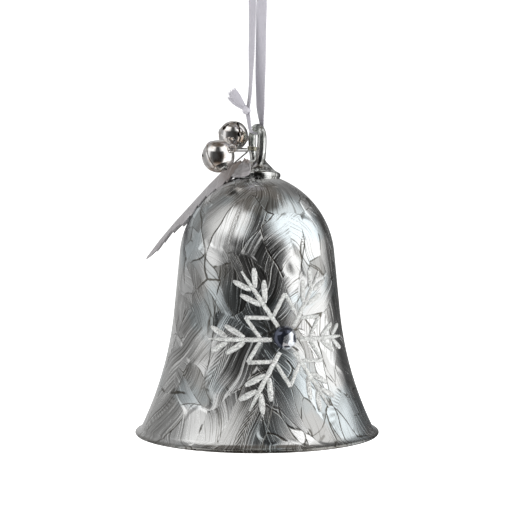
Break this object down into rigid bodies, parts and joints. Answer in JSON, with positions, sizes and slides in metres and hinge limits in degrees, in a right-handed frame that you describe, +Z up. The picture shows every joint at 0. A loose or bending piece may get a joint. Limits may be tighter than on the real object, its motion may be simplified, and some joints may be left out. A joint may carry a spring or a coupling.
{
  "type": "christmas bell ornament",
  "caption": "Blown silvered-glass christmas bell on a satin ribbon, with clapper, glitter snowflake, rhinestone, jingle bells and a leaf wired to its glass loop.",
  "frame": {"origin": "centre of the rim, on the plane that the rim rests on", "axes": "+Z up the bell's axis, -Y the front with the snowflake, +X to the viewer's right"},
  "size_m": [0.07, 0.07, 0.1308],
  "materials": {
    "silvered_glass": "mirror-silvered glass with frosted ice patterning",
    "loop_glass": "drawn hot glass, silvered inside",
    "glitter": "fine white-silver glitter in clear glue",
    "rhinestone": "domed, faceted, foil backed",
    "clear_glue": "clear dried glue",
    "satin": "silver-lilac single face satin",
    "jingle_plate": "bright nickel plate",
    "stem_wire": "bright drawn wire",
    "pellet_steel": "plain steel ball",
    "tie_wire_brass": "fine yellow wire",
    "leaf_resin": "pearl grey moulded leaf",
    "bead_glass": "clear pressed glass bead"
  },
  "bodies": {
    "bell": {"bell_shell": "silvered_glass", "hanging_loop": "loop_glass", "snowflake": "glitter", "gem": "rhinestone", "gem_glue": "clear_glue", "tie_wire": "tie_wire_brass", "clapper_hook": "stem_wire"},
    "ribbon": {"ribbon_loop": "satin", "ribbon_knot": "satin", "ribbon_tail_front": "satin", "ribbon_tail_back": "satin"},
    "lower_jingle": {"lower_jingle_cap": "jingle_plate", "lower_jingle_cup": "jingle_plate", "lower_jingle_eye": "jingle_plate", "lower_jingle_wire": "stem_wire"},
    "lower_pellet": {"lower_jingle_pellet": "pellet_steel"},
    "upper_jingle": {"upper_jingle_cap": "jingle_plate", "upper_jingle_cup": "jingle_plate", "upper_jingle_eye": "jingle_plate", "upper_jingle_wire": "stem_wire"},
    "upper_pellet": {"upper_jingle_pellet": "pellet_steel"},
    "leaf": {"leaf_blade": "leaf_resin", "leaf_stem": "stem_wire"},
    "link": {"clapper_link": "stem_wire"},
    "clapper": {"clapper_rod": "stem_wire", "clapper_bead": "bead_glass", "clapper_crimp": "stem_wire"}
  },
  "joints": [
    {"name": "ribbon_swing", "type": "hinge", "parent": "bell", "child": "ribbon", "pos_m": [0, 0, 0.08775], "axis": [0.4695, -0.8829, 0], "range_deg": [-30, 30]},
    {"name": "lower_jingle_bend", "type": "hinge", "parent": "bell", "child": "lower_jingle", "pos_m": [-0.0031, 0.002, 0.0819], "axis": [-0.693, 0.721, 0], "range_deg": [-8, 20]},
    {"name": "lower_pellet_hop", "type": "slide", "parent": "lower_jingle", "child": "lower_pellet", "axis": [0, 0, 1], "range_m": [0, 0.0057]},
    {"name": "upper_jingle_bend", "type": "hinge", "parent": "bell", "child": "upper_jingle", "pos_m": [-0.0022, 0.0043, 0.0815], "axis": [0, 0, 1], "range_deg": [-15, 8]},
    {"name": "upper_pellet_hop", "type": "slide", "parent": "upper_jingle", "child": "upper_pellet", "axis": [0, 0, 1], "range_m": [0, 0.0051]},
    {"name": "leaf_bend", "type": "hinge", "parent": "bell", "child": "leaf", "pos_m": [-0.003, 0.0017, 0.081], "axis": [0, 1, 0], "range_deg": [0, 8]},
    {"name": "link_swing", "type": "hinge", "parent": "bell", "child": "link", "pos_m": [0, 0, 0.07], "axis": [1, 0, 0], "range_deg": [-15, 15]},
    {"name": "clapper_swing", "type": "hinge", "parent": "link", "child": "clapper", "pos_m": [0, 0, 0.06785], "axis": [0, 1, 0], "range_deg": [-15, 15]}
  ]
}
